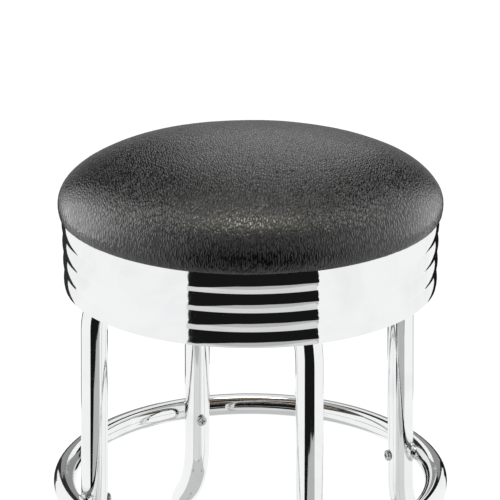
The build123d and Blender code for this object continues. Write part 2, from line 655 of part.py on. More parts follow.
def band_clip():
    """Angle clip on +X: one arm under the board, one down the inside of the band."""
    arm_low = COVER_UNDER_Z - CLIP_THICKNESS
    arm = bent_strip(CLIP_OUTER, CLIP_ARM, arm_low, COVER_UNDER_Z, CLIP_WIDTH, 0)
    drop = bent_strip(CLIP_OUTER, CLIP_THICKNESS, COVER_UNDER_Z - CLIP_DROP, COVER_UNDER_Z, CLIP_WIDTH, 0)
    hole = upright(CLIP_SCREW_DIAMETER / 2 + HOLE_GAP, arm_low - OVERRUN, BOARD_Z, CLIP_SCREW_RADIUS)
    return arm + drop - hole


def clip_screw():
    """Round-headed wood screw up through a clip into the board."""
    radius = CLIP_SCREW_DIAMETER / 2
    low = CLIP_SCREW_HEAD_Z - CLIP_SCREW_HEAD_HEIGHT
    shank = upright(radius, CLIP_SCREW_HEAD_Z, CLIP_SCREW_HEAD_Z + CLIP_SCREW_LENGTH, CLIP_SCREW_RADIUS)
    head = upright(CLIP_SCREW_HEAD_DIAMETER / 2, low, CLIP_SCREW_HEAD_Z, CLIP_SCREW_RADIUS)
    head = fillet(head.edges().filter_by(GeomType.CIRCLE).sort_by(Axis.Z)[0], CLIP_SCREW_HEAD_HEIGHT / 2)
    return shank + head


os.makedirs("parts", exist_ok=True)

save("side_leg_pair", leg_pair(-1))
save("front_back_leg_pair", Rot(0, 0, 90) * leg_pair(1))
for index, name in enumerate(SIDE_NAMES):
    save(f"foot_cap_{name}", Rot(0, 0, index * 360 / LEG_COUNT) * foot_cap())

save("foot_ring", foot_ring())
save("foot_ring_screws", around(ring_screw(), LEG_COUNT))
save("foot_ring_nuts", around(ring_nut(), LEG_COUNT))

save("swivel_base_plate", swivel_base_plate())
save("saddle_washers", around(saddle_washer(), LEG_COUNT))
save("frame_bolts", around(frame_bolt(), LEG_COUNT))
save("base_plate_nuts", around(plate_nut(), LEG_COUNT))
save("swivel_pin", swivel_pin())
save("pin_washer", pin_washer())

save("ball_cage", ball_cage())
save("swivel_balls", swivel_balls())

save("swivel_top_plate", swivel_top_plate())
save("seat_bolts", around(seat_bolt(), LEG_COUNT))
save("seat_tee_nuts", around(tee_nut(), LEG_COUNT))
save("seat_board", seat_board())
save("seat_foam", seat_foam())
save("seat_cover", seat_cover())
save("cover_staples", around(staple(), STAPLE_COUNT, 180 / STAPLE_COUNT))

save("trim_band", trim_band())
save("seam_strip", seam_strip())
save("seam_rivets", at_seam(seam_rivet))
save("band_clips", around(band_clip(), CLIP_COUNT, CLIP_START))
save("clip_screws", around(clip_screw(), CLIP_COUNT, CLIP_START))
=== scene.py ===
"""Bar stool with a domed vinyl swivel seat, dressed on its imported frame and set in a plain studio.

All lengths are metres in the frame's own axes: +Z up, the origin on the floor under the seat's turning axis.
"""

import logging
import math
from dataclasses import dataclass, field
from enum import Enum

import bmesh
import bpy
import numpy as np
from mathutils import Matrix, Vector, noise


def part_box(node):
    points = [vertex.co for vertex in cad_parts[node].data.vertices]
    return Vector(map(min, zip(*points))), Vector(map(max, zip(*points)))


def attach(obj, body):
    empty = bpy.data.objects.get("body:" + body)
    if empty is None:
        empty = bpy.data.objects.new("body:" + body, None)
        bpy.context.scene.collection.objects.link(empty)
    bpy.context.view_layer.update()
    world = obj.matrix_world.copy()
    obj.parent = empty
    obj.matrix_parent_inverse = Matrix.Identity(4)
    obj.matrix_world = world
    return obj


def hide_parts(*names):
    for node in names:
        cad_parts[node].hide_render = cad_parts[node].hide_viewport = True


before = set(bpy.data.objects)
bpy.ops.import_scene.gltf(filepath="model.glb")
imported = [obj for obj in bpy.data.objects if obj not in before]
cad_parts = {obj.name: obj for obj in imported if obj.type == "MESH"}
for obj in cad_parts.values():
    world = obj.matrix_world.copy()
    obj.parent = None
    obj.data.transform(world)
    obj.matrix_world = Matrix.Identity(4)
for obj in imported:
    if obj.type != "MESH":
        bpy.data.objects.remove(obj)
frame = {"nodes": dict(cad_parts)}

LOG = logging.getLogger("stool")
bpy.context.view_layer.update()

Triple = tuple[float, float, float]
Pair = tuple[float, float]
Socket = bpy.types.NodeSocket
Inputs = bpy.types.bpy_prop_collection

# Direction of the camera from the stool, seen from above and counted from -Y
VIEW_TURN = math.radians(-20.1)


class Slot(Enum):
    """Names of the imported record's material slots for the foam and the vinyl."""

    FOAM = "foam"
    VINYL = "vinyl"


class Body(Enum):
    """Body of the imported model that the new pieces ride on."""

    SEAT = "seat"


class Cell(Enum):
    """Distances that a pattern of cells can give."""

    TO_CENTRE = "F1"
    TO_EDGE = "DISTANCE_TO_EDGE"


def deselect_all() -> None:
    """Leave object mode with nothing selected."""
    if bpy.context.mode != "OBJECT":
        bpy.ops.object.mode_set(mode="OBJECT")
    bpy.ops.object.select_all(action="DESELECT")


def make_active(piece: bpy.types.Object) -> None:
    """Select one object alone and make it active.

    Args:
        piece: The object that the next operators act on.
    """
    deselect_all()
    piece.select_set(True)
    bpy.context.view_layer.objects.active = piece


class Sheet:
    """A node tree with short calls for adding, setting and linking nodes."""

    def __init__(self, tree: bpy.types.NodeTree) -> None:
        """Keep the tree and clear what Blender put in it."""
        self.tree = tree
        tree.nodes.clear()

    def node(self, kind: str, **settings: object) -> bpy.types.Node:
        """Add a node.

        Args:
            kind: Blender's type name of the node, without the word ShaderNode.
            **settings: Properties of the node itself, such as an operation.

        Returns:
            The new node.
        """
        new = self.tree.nodes.new(f"ShaderNode{kind}")
        for name, value in settings.items():
            setattr(new, name, value)
        return new

    def feed(self, socket: Socket, source: object) -> None:
        """Link a socket to an input, or set the input's own value.

        Args:
            socket: The input.
            source: The socket to link, or the value to set.
        """
        if isinstance(source, Socket):
            self.tree.links.new(source, socket)
        else:
            socket.default_value = source

    def placed(self, turn: float = 0.0, scale: Triple = (1.0, 1.0, 1.0)) -> Socket:
        """Object coordinates, turned about Z and scaled.

        Args:
            turn: Angle about Z in radians.
            scale: Scale along each axis after the turn.

        Returns:
            The vector socket.
        """
        mapping = self.node("Mapping")
        mapping.inputs["Rotation"].default_value = (0.0, 0.0, turn)
        self.feed(mapping.inputs["Vector"], self.node("TexCoord").outputs["Object"])
        stretch = self.node("VectorMath", operation="MULTIPLY")
        self.feed(stretch.inputs[0], mapping.outputs["Vector"])
        stretch.inputs[1].default_value = scale
        return stretch.outputs["Vector"]

    def noise(self, vector: Socket, scale: float, detail: float = 3.0, roughness: float = 0.55) -> Socket:
        """Noise value from 0 to 1.

        Args:
            vector: Where the pattern is read.
            scale: Waves per metre.
            detail: Number of finer layers.
            roughness: Strength of the finer layers.

        Returns:
            The value socket.
        """
        texture = self.node("TexNoise")
        self.feed(texture.inputs["Vector"], vector)
        texture.inputs["Scale"].default_value = scale
        texture.inputs["Detail"].default_value = detail
        texture.inputs["Roughness"].default_value = roughness
        return texture.outputs[0]

    def cells(self, vector: Socket, scale: object, distance: Cell) -> Socket:
        """Distance inside a pattern of cells.

        Args:
            vector: Where the pattern is read.
            scale: Cells per metre, as a value or a socket.
            distance: Which distance is measured.

        Returns:
            The distance socket.
        """
        texture = self.node("TexVoronoi", feature=distance.value)
        self.feed(texture.inputs["Vector"], vector)
        self.feed(texture.inputs["Scale"], scale)
        return texture.outputs["Distance"]

    def spread(self, value: Socket, low: float, high: float, to_low: float = 0.0, to_high: float = 1.0) -> Socket:
        """Smooth ramp of a value between two limits.

        Args:
            value: The value to spread.
            low: Value where the ramp starts.
            high: Value where it ends.
            to_low: Result at the start.
            to_high: Result at the end.

        Returns:
            The result socket.
        """
        ramp = self.node("MapRange", interpolation_type="SMOOTHSTEP")
        self.feed(ramp.inputs["Value"], value)
        for name, limit in (("From Min", low), ("From Max", high), ("To Min", to_low), ("To Max", to_high)):
            ramp.inputs[name].default_value = limit
        return ramp.outputs["Result"]

    def math(self, operation: str, *values: object) -> Socket:
        """One sum of values or sockets.

        Args:
            operation: Blender's name of the sum.
            *values: What goes into it, in order.

        Returns:
            The result socket.
        """
        sum_node = self.node("Math", operation=operation)
        for socket, value in zip(sum_node.inputs, values):
            self.feed(socket, value)
        return sum_node.outputs["Value"]

    def normal_z(self) -> Socket:
        """Height part of the surface's normal.

        Returns:
            The value socket, 1 where the surface looks straight up.
        """
        return self.height_of(self.node("NewGeometry").outputs["Normal"])

    def height_of(self, vector: Socket) -> Socket:
        """Z part of a vector.

        Args:
            vector: The vector socket.

        Returns:
            The value socket.
        """
        split = self.node("SeparateXYZ")
        self.feed(split.inputs[0], vector)
        return split.outputs["Z"]

    def tint(self, share: Socket, low: object, high: Triple) -> Socket:
        """Colour between two colours.

        Args:
            share: Share of the second colour.
            low: First colour, as three numbers or a colour socket.
            high: Second colour, three numbers.

        Returns:
            The colour socket.
        """
        mix = self.node("Mix", data_type="RGBA")
        self.feed(mix.inputs["Factor"], share)
        self.feed(mix.inputs[6], low if isinstance(low, Socket) else (*low, 1.0))
        mix.inputs[7].default_value = (*high, 1.0)
        return mix.outputs[2]

    def relief(self, height: Socket, distance: float, below: Socket | None = None) -> Socket:
        """Normal of a surface with fine relief.

        Args:
            height: Height from 0 to 1.
            distance: Real height of the relief in metres.
            below: Normal socket of coarser relief under this one, or None.

        Returns:
            The normal socket.
        """
        bump = self.node("Bump")
        bump.inputs["Strength"].default_value = 1.0
        bump.inputs["Distance"].default_value = distance
        self.feed(bump.inputs["Height"], height)
        if below is not None:
            self.feed(bump.inputs["Normal"], below)
        return bump.outputs["Normal"]

    def group(self, tree: bpy.types.NodeTree, vector: Socket, **values: float) -> Socket:
        """Place a shared effect and give its mask.

        Args:
            tree: The shared effect.
            vector: Where its pattern is read.
            **values: Its named inputs, in small letters.

        Returns:
            The mask socket.
        """
        holder = self.node("Group")
        holder.node_tree = tree
        self.feed(holder.inputs["Vector"], vector)
        for name, value in values.items():
            holder.inputs[name.title()].default_value = value
        return holder.outputs[0]


class SharedEffects:
    """Effects that several finishes use, each a node group built once."""

    scratch_directions = ((0.5, (1.0, 0.04, 0.3)), (-0.9, (0.05, 1.0, 0.4)), (1.9, (0.4, 0.3, 0.05)))
    scratch_patches = 35.0
    mark_detail = 5.0
    mark_distortion = 1.2
    dust_grains = 420.0

    def __init__(self) -> None:
        """Build every effect."""
        self.scratches = self._scratches()
        self.marks = self._marks()
        self.dust = self._dust()

    @staticmethod
    def _start(name: str, values: dict[str, float]) -> tuple[Sheet, bpy.types.Node, bpy.types.Node]:
        """Start a group with a vector input, value inputs and one mask output.

        Args:
            name: Name of the group.
            values: Names and defaults of the value inputs.

        Returns:
            The sheet, its input node and its output node.
        """
        tree = bpy.data.node_groups.new(name, "ShaderNodeTree")
        tree.interface.new_socket("Vector", in_out="INPUT", socket_type="NodeSocketVector")
        for label, value in values.items():
            socket = tree.interface.new_socket(label, in_out="INPUT", socket_type="NodeSocketFloat")
            socket.default_value = value
        tree.interface.new_socket("Mask", in_out="OUTPUT", socket_type="NodeSocketFloat")
        sheet = Sheet(tree)
        return sheet, tree.nodes.new("NodeGroupInput"), tree.nodes.new("NodeGroupOutput")

    def _scratches(self) -> bpy.types.NodeTree:
        """Fine straight lines in three directions, broken up by noise.

        Returns:
            The group.
        """
        sheet, inside, outside = self._start("fine_scratches", {"Lines": 90.0, "Width": 0.02})
        total = None
        for turn, stretch in self.scratch_directions:
            mapping = sheet.node("Mapping")
            mapping.inputs["Rotation"].default_value = (turn, turn / 2, turn)
            mapping.inputs["Scale"].default_value = stretch
            sheet.feed(mapping.inputs["Vector"], inside.outputs["Vector"])
            edges = sheet.cells(mapping.outputs["Vector"], inside.outputs["Lines"], Cell.TO_EDGE)
            line = sheet.math("LESS_THAN", edges, inside.outputs["Width"])
            total = line if total is None else sheet.math("MAXIMUM", total, line)
        patches = sheet.spread(sheet.noise(inside.outputs["Vector"], self.scratch_patches), 0.45, 0.7)
        sheet.feed(outside.inputs["Mask"], sheet.math("MULTIPLY", total, patches))
        return sheet.tree

    def _marks(self) -> bpy.types.NodeTree:
        """Soft smears, such as hands and cloths leave.

        Returns:
            The group.
        """
        sheet, inside, outside = self._start("soft_marks", {"Size": 18.0})
        texture = sheet.node("TexNoise")
        sheet.feed(texture.inputs["Vector"], inside.outputs["Vector"])
        sheet.feed(texture.inputs["Scale"], inside.outputs["Size"])
        texture.inputs["Detail"].default_value = self.mark_detail
        texture.inputs["Distortion"].default_value = self.mark_distortion
        sheet.feed(outside.inputs["Mask"], sheet.spread(texture.outputs[0], 0.42, 0.72))
        return sheet.tree

    def _dust(self) -> bpy.types.NodeTree:
        """Thin dust on faces that look up.

        Returns:
            The group.
        """
        sheet, inside, outside = self._start("settled_dust", {"Amount": 0.3})
        upward = sheet.spread(sheet.normal_z(), 0.35, 0.95)
        grain = sheet.spread(sheet.noise(inside.outputs["Vector"], self.dust_grains, 4.0), 0.4, 0.75)
        lying = sheet.math("MULTIPLY", upward, grain)
        sheet.feed(outside.inputs["Mask"], sheet.math("MULTIPLY", lying, inside.outputs["Amount"]))
        return sheet.tree


EFFECTS = SharedEffects()


class Finish:
    """Base of the finishes: makes one material with one Principled shader.

    Sizes of patterns are waves or cells per metre, and reliefs are heights in metres.
    """

    name = "finish"

    def make(self) -> bpy.types.Material:
        """Build the material.

        Returns:
            The finished material.
        """
        material = bpy.data.materials.new(self.name)
        material.use_nodes = True
        sheet = Sheet(material.node_tree)
        shader = sheet.node("BsdfPrincipled")
        sheet.feed(sheet.node("OutputMaterial").inputs["Surface"], shader.outputs["BSDF"])
        self.fill(sheet, shader.inputs)
        return material

    def fill(self, sheet: Sheet, sockets: Inputs) -> None:
        """Set the shader's sockets and the nodes that feed them.

        Args:
            sheet: The material's nodes.
            sockets: The shader's inputs.
        """
        raise NotImplementedError


@dataclass(frozen=True)
class ChromePlate(Finish):
    """Mirror chrome plate with faint smears and hairline scratches."""

    name: str = "chrome_plate"
    colour: Triple = (0.885, 0.89, 0.895)
    smeared: Triple = (0.83, 0.836, 0.84)
    smear_size: float = 14.0
    roughness: float = 0.025
    smear_roughness: float = 0.035
    scratch_roughness: float = 0.05
    scratch_lines: float = 160.0
    scratch_width: float = 0.012

    def fill(self, sheet: Sheet, sockets: Inputs) -> None:
        """Chrome with a roughness that varies a little over the surface.

        Args:
            sheet: The material's nodes.
            sockets: The shader's inputs.
        """
        place = sheet.placed()
        smears = sheet.group(EFFECTS.marks, place, size=self.smear_size)
        lines = sheet.group(EFFECTS.scratches, place, lines=self.scratch_lines, width=self.scratch_width)
        sheet.feed(sockets["Base Color"], sheet.tint(smears, self.colour, self.smeared))
        rough = sheet.math("MULTIPLY_ADD", smears, self.smear_roughness, self.roughness)
        worn = sheet.math("MULTIPLY", lines, self.scratch_roughness)
        sheet.feed(sockets["Roughness"], sheet.math("ADD", rough, worn))
        sockets["Metallic"].default_value = 1.0


@dataclass(frozen=True)
class ZincPlate(Finish):
    """Bright zinc plate on fasteners, with a mottled passivated tint."""

    name: str = "zinc_plate"
    colour: Triple = (0.60, 0.60, 0.585)
    tinted: Triple = (0.50, 0.52, 0.56)
    tint_size: float = 60.0
    flake_size: float = 900.0
    roughness: Pair = (0.2, 0.36)
    grain_size: float = 1500.0
    grain_relief: float = 0.00002

    def fill(self, sheet: Sheet, sockets: Inputs) -> None:
        """Zinc with crystals that show as small flakes.

        Args:
            sheet: The material's nodes.
            sockets: The shader's inputs.
        """
        place = sheet.placed()
        flakes = sheet.cells(place, self.flake_size, Cell.TO_CENTRE)
        marks = sheet.group(EFFECTS.marks, place, size=self.tint_size)
        sheet.feed(sockets["Base Color"], sheet.tint(marks, self.colour, self.tinted))
        sheet.feed(sockets["Roughness"], sheet.spread(flakes, 0.0, 0.8, *self.roughness))
        sheet.feed(sockets["Normal"], sheet.relief(sheet.noise(place, self.grain_size), self.grain_relief))
        sockets["Metallic"].default_value = 1.0


@dataclass(frozen=True)
class BallSteel(Finish):
    """Ground ball steel under a film of grease."""

    name: str = "ball_steel"
    colour: Triple = (0.56, 0.57, 0.58)
    greased: Triple = (0.34, 0.30, 0.22)
    grease_size: float = 220.0
    roughness: Pair = (0.1, 0.32)

    def fill(self, sheet: Sheet, sockets: Inputs) -> None:
        """Polished steel with patches of darker grease.

        Args:
            sheet: The material's nodes.
            sockets: The shader's inputs.
        """
        grease = sheet.group(EFFECTS.marks, sheet.placed(), size=self.grease_size)
        sheet.feed(sockets["Base Color"], sheet.tint(grease, self.colour, self.greased))
        sheet.feed(sockets["Roughness"], sheet.spread(grease, 0.0, 1.0, *self.roughness))
        sockets["Metallic"].default_value = 1.0


@dataclass(frozen=True)
class PowderCoat(Finish):
    """Black powder coat with orange peel and a little dust."""

    name: str = "black_powder_coat"
    colour: Triple = (0.018, 0.018, 0.019)
    dusty: Triple = (0.10, 0.098, 0.092)
    dust: float = 0.5
    patch_size: float = 260.0
    roughness: Pair = (0.36, 0.5)
    peel_size: float = 700.0
    peel_relief: float = 0.00012

    def fill(self, sheet: Sheet, sockets: Inputs) -> None:
        """Semi-gloss black with fine peel.

        Args:
            sheet: The material's nodes.
            sockets: The shader's inputs.
        """
        place = sheet.placed()
        dust = sheet.group(EFFECTS.dust, place, amount=self.dust)
        sheet.feed(sockets["Base Color"], sheet.tint(dust, self.colour, self.dusty))
        sheet.feed(sockets["Roughness"], sheet.spread(sheet.noise(place, self.patch_size), 0.3, 0.7, *self.roughness))
        sheet.feed(sockets["Normal"], sheet.relief(sheet.noise(place, self.peel_size, 2.0), self.peel_relief))


@dataclass(frozen=True)
class MouldedNylon(Finish):
    """Natural nylon, a little cloudy."""

    name: str = "moulded_nylon"
    colour: Triple = (0.74, 0.72, 0.65)
    cloudy: Triple = (0.62, 0.60, 0.53)
    cloud_size: float = 130.0
    roughness: Pair = (0.38, 0.52)
    grain_size: float = 1100.0
    grain_relief: float = 0.00003
    glow: float = 0.15
    glow_depth: float = 0.002

    def fill(self, sheet: Sheet, sockets: Inputs) -> None:
        """Off-white plastic with light passing a little way in.

        Args:
            sheet: The material's nodes.
            sockets: The shader's inputs.
        """
        place = sheet.placed()
        cloud = sheet.noise(place, self.cloud_size)
        sheet.feed(sockets["Base Color"], sheet.tint(cloud, self.colour, self.cloudy))
        sheet.feed(sockets["Roughness"], sheet.spread(cloud, 0.2, 0.8, *self.roughness))
        sheet.feed(sockets["Normal"], sheet.relief(sheet.noise(place, self.grain_size), self.grain_relief))
        sockets["Subsurface Weight"].default_value = self.glow
        sockets["Subsurface Scale"].default_value = self.glow_depth


@dataclass(frozen=True)
class MouldedRubber(Finish):
    """Black moulded rubber, scuffed near the floor."""

    name: str = "moulded_rubber"
    colour: Triple = (0.016, 0.016, 0.017)
    scuffed: Triple = (0.085, 0.082, 0.078)
    scuff_height: float = 0.012
    scuff_size: float = 150.0
    scuff_relief: float = 0.00008
    roughness: Pair = (0.62, 0.85)
    grain_size: float = 1400.0
    grain_relief: float = 0.00006
    shine: float = 0.4

    def fill(self, sheet: Sheet, sockets: Inputs) -> None:
        """Matt black with grey scuffs that fade with height.

        Args:
            sheet: The material's nodes.
            sockets: The shader's inputs.
        """
        place = sheet.placed()
        low = sheet.spread(sheet.height_of(place), 0.0, self.scuff_height, 1.0, 0.15)
        marks = sheet.group(EFFECTS.marks, place, size=self.scuff_size)
        scuffs = sheet.math("MULTIPLY", low, marks)
        sheet.feed(sockets["Base Color"], sheet.tint(scuffs, self.colour, self.scuffed))
        sheet.feed(sockets["Roughness"], sheet.spread(scuffs, 0.0, 1.0, *self.roughness))
        grain = sheet.relief(sheet.noise(place, self.grain_size, 2.0), self.grain_relief)
        sheet.feed(sockets["Normal"], sheet.relief(scuffs, self.scuff_relief, grain))
        sockets["Specular IOR Level"].default_value = self.shine


@dataclass(frozen=True)
class BirchPly(Finish):
    """Sanded birch plywood: grain on the faces, plies on the edge."""

    name: str = "birch_plywood"
    light: Triple = (0.60, 0.45, 0.29)
    dark: Triple = (0.40, 0.26, 0.14)
    ply: float = 0.0021
    wave_length: float = 6.5
    grain_stretch: Triple = (0.06, 1.0, 1.0)
    grain_size: float = 420.0
    grain_relief: float = 0.00008
    roughness: Pair = (0.55, 0.7)

    def fill(self, sheet: Sheet, sockets: Inputs) -> None:
        """Long grain stretched along X, with darker plies by height.

        Args:
            sheet: The material's nodes.
            sockets: The shader's inputs.
        """
        grain = sheet.noise(sheet.placed(scale=self.grain_stretch), self.grain_size, 6.0)
        wave = sheet.node("TexWave", bands_direction="Z", wave_profile="SIN")
        sheet.feed(wave.inputs["Vector"], sheet.placed())
        wave.inputs["Scale"].default_value = 1.0 / (self.wave_length * self.ply)
        side = sheet.math("SUBTRACT", 1.0, sheet.math("ABSOLUTE", sheet.normal_z()))
        plies = sheet.math("MULTIPLY", wave.outputs["Fac"], side)
        share = sheet.math("MAXIMUM", sheet.spread(grain, 0.35, 0.7, 0.0, 0.7), plies)
        sheet.feed(sockets["Base Color"], sheet.tint(share, self.light, self.dark))
        sheet.feed(sockets["Roughness"], sheet.spread(grain, 0.3, 0.7, *self.roughness))
        sheet.feed(sockets["Normal"], sheet.relief(grain, self.grain_relief))


@dataclass(frozen=True)
class CutFoam(Finish):
    """Cut open-cell foam."""

    name: str = "cut_foam"
    colour: Triple = (0.72, 0.64, 0.40)
    # Darker colour for the pore hollows: painted shade.
    pore: Triple = (0.48, 0.40, 0.22)
    pore_size: float = 900.0
    pore_relief: float = 0.0004
    roughness: Pair = (0.98, 0.86)

    def fill(self, sheet: Sheet, sockets: Inputs) -> None:
        """Yellowish foam with painted shade in its pore hollows.

        Args:
            sheet: The material's nodes.
            sockets: The shader's inputs.
        """
        pores = sheet.spread(sheet.cells(sheet.placed(), self.pore_size, Cell.TO_CENTRE), 0.15, 0.6)
        # The pore hollows take the darker colour as painted shade.
        sheet.feed(sockets["Base Color"], sheet.tint(pores, self.pore, self.colour))
        sheet.feed(sockets["Normal"], sheet.relief(pores, self.pore_relief))
        sheet.feed(sockets["Roughness"], sheet.spread(pores, 0.0, 1.0, *self.roughness))


@dataclass(frozen=True)
class PebbledVinyl(Finish):
    """Black upholstery vinyl embossed like pebbled leather."""

    name: str = "pebbled_vinyl"
    colour: Triple = (0.006, 0.006, 0.0061)
    # Darker colour for the creases: painted shade.
    crease_shade: Triple = (0.003, 0.003, 0.003)
    worn: Triple = (0.009, 0.0087, 0.0083)
    patch_size: float = 26.0
    pebble: float = 0.0020
    pebble_edge: float = 0.26
    pebble_relief: float = 0.0002
    # Weaker reflection in the creases stands in for their shade: painted shade.
    crease_shade_shine: float = 0.58
    shine: float = 0.78
    pore: float = 0.0009
    pore_relief: float = 0.00003
    roughness: Pair = (0.27, 0.19)
    stretch: Triple = (1.0, 0.28, 0.26)
    wander: float = 0.0012
    wander_size: float = 240.0

    def fill(self, sheet: Sheet, sockets: Inputs) -> None:
        """Pebbles with painted shade in the creases (a darker colour and weaker reflection there), pores between them
        and a soft sheen.

        Args:
            sheet: The material's nodes.
            sockets: The shader's inputs.
        """
        place = sheet.placed(-VIEW_TURN, self.stretch)
        drift = sheet.node("TexNoise")
        sheet.feed(drift.inputs["Vector"], place)
        drift.inputs["Scale"].default_value = self.wander_size
        drift.inputs["Detail"].default_value = 2.0
        moved = sheet.node("VectorMath", operation="MULTIPLY_ADD")
        sheet.feed(moved.inputs[0], drift.outputs["Color"])
        moved.inputs[1].default_value = (self.wander,) * 3
        sheet.feed(moved.inputs[2], place)
        wavy = moved.outputs["Vector"]
        pebbles = sheet.spread(sheet.cells(wavy, 1.0 / self.pebble, Cell.TO_EDGE), 0.0, self.pebble_edge)
        pores = sheet.spread(sheet.cells(wavy, 1.0 / self.pore, Cell.TO_CENTRE), 0.1, 0.7)
        broad = sheet.noise(sheet.placed(), self.patch_size)
        rubbed = sheet.math("MULTIPLY", sheet.spread(broad, 0.35, 0.75), pebbles)
        # The creases take the darker colour as painted shade.
        shaded_surface = sheet.tint(pebbles, self.crease_shade, self.colour)
        sheet.feed(sockets["Base Color"], sheet.tint(rubbed, shaded_surface, self.worn))
        sheet.feed(sockets["Roughness"], sheet.spread(sheet.math("ADD", pebbles, broad), 0.2, 1.5, *self.roughness))
        coarse = sheet.relief(pebbles, self.pebble_relief)
        sheet.feed(sockets["Normal"], sheet.relief(pores, self.pore_relief, coarse))
        # Reflection turned down in the creases is painted shade.
        shine = sheet.spread(pebbles, 0.0, 1.0, self.crease_shade_shine, self.shine)
        sheet.feed(sockets["Specular IOR Level"], shine)


@dataclass
class SeatCushion:
    """Vinyl cover drawn over a foam dome and tucked into the trim band."""

    body: Body = Body.SEAT
    crown_power: float = 2.12
    crown_height: float = 0.0534
    tuck_above_band: float = 0.0002
    lip_overhang: float = 0.0050
    lip_rise: float = 0.0014
    skirt_depth: float = 0.0065
    mouth_inset: float = 0.025
    wall: float = 0.0012
    inner_gap: float = 0.0004
    hem_round: float = 0.0004
    inner_rings: int = 22
    last_ring_share: float = 0.02
    foam_above_board: float = 0.0015
    foam_round: Pair = (0.003, 0.0008)
    cover_steps: int = 352
    foam_steps: int = 72
    crown_points: int = 900
    roll_points: int = 60
    lip_points: int = 30
    smooth_angle: float = math.radians(50)
    pebble: float = 0.0033
    pebble_height: float = 0.0001
    pebble_slope: float = 2.6
    pebble_stretch: Triple = (1.0, 0.42, 0.42)
    pebble_seed: int = 1
    pebble_wander: float = 0.45
    pebble_wander_size: float = 0.7
    swell: float = 0.0005
    swell_size: float = 0.055
    pucker: float = 0.00045
    pucker_width: float = 0.0065
    pucker_length: float = 4.0
    pucker_reach: float = 0.024
    relief_fade: float = 0.003
    board_radius: float = field(default_factory=lambda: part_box("seat_board")[1].x)
    board_top: float = field(default_factory=lambda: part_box("seat_board")[1].z)
    low: Vector = field(default_factory=lambda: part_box("seat_cover")[0])
    high: Vector = field(default_factory=lambda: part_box("seat_cover")[1])
    band_top: float = field(default_factory=lambda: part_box("trim_band")[1].z)

    @property
    def widest_z(self) -> float:
        """Height where the cushion is widest."""
        return self.high.z - self.crown_height

    @property
    def tuck_z(self) -> float:
        """Height where the cover's outer face goes into the band."""
        return self.band_top + self.tuck_above_band

    @property
    def side_radius(self) -> float:
        """Radius of the cover where it lies between the board and the band."""
        return self.board_radius + self.wall + self.inner_gap / 2

    def outline(self, inset: float, last_z: float) -> tuple[np.ndarray, np.ndarray, np.ndarray]:
        """Outline from the crown down to a height on the side.

        Args:
            inset: How far inside the cover's outer face the outline runs.
            last_z: Height where the outline ends.

        Returns:
            Distance along the outline, radius and height, as arrays.
        """
        angle = np.linspace(math.pi / 2, 0.0, self.crown_points)
        power = 2.0 / self.crown_power
        radius = (self.high.x - inset) * np.cos(angle) ** power
        height = self.widest_z + (self.crown_height - inset) * np.sin(angle) ** power
        radius[0] = 0.0
        side = self.side_radius - inset
        roll = np.linspace(0.0, 1.0, self.roll_points)[1:]
        lip = side + self.lip_overhang
        lip_z = self.tuck_z + inset + self.lip_rise
        roll_radius = lip + (self.high.x - inset - lip) * (1 - roll ** 2)
        turn = np.linspace(0.0, math.pi, self.lip_points)[1:]
        tuck_radius = np.concatenate([roll_radius, side + (lip - side) * (1 + np.cos(turn)) / 2])
        tuck_height = np.concatenate([self.widest_z + (lip_z - self.widest_z) * roll,
                                      lip_z - self.lip_rise * turn / math.pi])
        radius = np.concatenate([radius, tuck_radius, [side]])
        height = np.concatenate([height, tuck_height, [last_z]])
        along = np.concatenate([[0.0], np.cumsum(np.hypot(np.diff(radius), np.diff(height)))])
        return along, radius, height

    def relief(self, points: np.ndarray, along: np.ndarray, reach: float) -> np.ndarray:
        """Height of the cover's pebbles, soft swells and puckers at each point.

        Args:
            points: Points of the dome, one row each.
            along: Distance of each point from the crown.
            reach: Distance from the crown to where the cover is tucked in.

        Returns:
            Height above the plain dome at each point.
        """
        cos_turn, sin_turn = math.cos(-VIEW_TURN), math.sin(-VIEW_TURN)
        noise.seed_set(self.pebble_seed)
        result = np.zeros(len(points))
        edge = np.clip((along - (reach - self.pucker_reach)) / self.pucker_reach, 0.0, 1.0)
        for index, (x, y, z) in enumerate(points):
            across, deep = x * cos_turn - y * sin_turn, x * sin_turn + y * cos_turn
            place = Vector((across * self.pebble_stretch[0], deep * self.pebble_stretch[1],
                            z * self.pebble_stretch[2])) / self.pebble
            place += self.pebble_wander * noise.noise_vector(place * self.pebble_wander_size)
            near, next_near = noise.voronoi(place)[0][:2]
            pebble = min(1.0, (next_near - near) * self.pebble_slope)
            swell = noise.noise(Vector((x, y, z)) / self.swell_size)
            result[index] = (pebble - 1.0) * self.pebble_height + swell * self.swell
            if edge[index] > 0.0:
                angle = math.atan2(y, x)
                fold = Vector((math.cos(angle), math.sin(angle), 0.0)) * (self.high.x / self.pucker_width)
                fold.z = z / (self.pucker_length * self.pucker_width)
                result[index] -= edge[index] ** 2 * self.pucker * (0.5 + noise.noise(fold))
        return result * np.clip((reach - along) / self.relief_fade, 0.0, 1.0)

